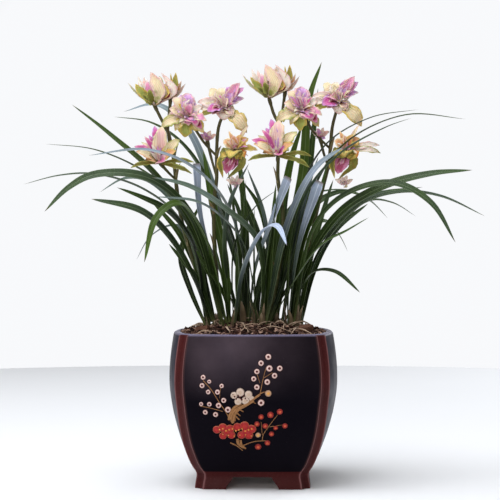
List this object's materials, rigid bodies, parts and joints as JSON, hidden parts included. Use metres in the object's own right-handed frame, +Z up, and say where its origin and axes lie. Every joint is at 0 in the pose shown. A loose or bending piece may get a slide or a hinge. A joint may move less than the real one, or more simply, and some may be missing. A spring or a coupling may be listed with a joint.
{
  "type": "potted orchid",
  "caption": "Flowering orchid with long arching strap leaves and many-petalled pink and cream flowers in a square footed ceramic pot.",
  "frame": {"origin": "on the floor under the middle of the square pot", "axes": "+X to the right along the plant's long spread, +Y away from the decorated front of the pot, +Z up"},
  "size_m": [0.464, 0.245, 0.429],
  "materials": {
    "pot_glaze": "satin",
    "terracotta": "matte",
    "gravel": "matte",
    "bark_mix": "matte",
    "bark": "matte",
    "pseudobulb": "satin",
    "leaf": "satin",
    "stem": "satin",
    "petal": "satin"
  },
  "bodies": {
    "root": {"pot": "pot_glaze", "crock": "terracotta", "drainage_gravel": "gravel", "bark_mix": "bark_mix", "rhizome_with_pseudobulbs": "pseudobulb", "bark_chip_left": "bark", "bark_chip_right": "bark", "leaf_left_high": "leaf", "leaf_left_top_thin": "leaf", "leaf_left_far": "leaf", "leaf_left_broad": "leaf", "leaf_left_blue": "leaf", "leaf_left_dark": "leaf", "leaf_left_low_broad": "leaf", "leaf_left_back_high": "leaf", "leaf_left_back_pale": "leaf", "leaf_left_silver": "leaf", "leaf_left_light": "leaf", "leaf_left_front_long": "leaf", "leaf_left_drooping": "leaf", "leaf_left_low_back": "leaf", "leaf_left_bow": "leaf", "leaf_centre_blue_tip": "leaf", "leaf_centre_left_a": "leaf", "leaf_centre_left_b": "leaf", "leaf_centre_small_arch": "leaf", "leaf_centre_blunt": "leaf", "leaf_right_blue_tip": "leaf", "leaf_tallest": "leaf", "leaf_centre_broad": "leaf", "leaf_back_tip": "leaf", "leaf_back_middle": "leaf", "leaf_right_high": "leaf", "leaf_right_top_thin": "leaf", "leaf_right_high_front": "leaf", "leaf_right_blue_broad": "leaf", "leaf_right_big_dark": "leaf", "leaf_right_far": "leaf", "leaf_right_drooping": "leaf", "leaf_right_back_low": "leaf", "leaf_right_back_hook": "leaf", "leaf_right_back_arch": "leaf", "leaf_right_straight": "leaf", "leaf_right_back_droop": "leaf", "leaf_right_low": "leaf", "leaf_right_behind": "leaf", "flower_left_half_open": "petal", "flower_left_open": "petal", "flower_left_top": "petal", "flower_left_upright": "petal", "flower_left_hooded": "petal", "flower_right_half_open": "petal", "flower_right_open": "petal", "flower_right_top": "petal", "flower_right_upright": "petal", "flower_right_hooded": "petal", "scape_left_inner": "stem", "scape_left_outer": "stem", "scape_right_inner": "stem", "scape_right_outer": "stem"}
  },
  "joints": []
}
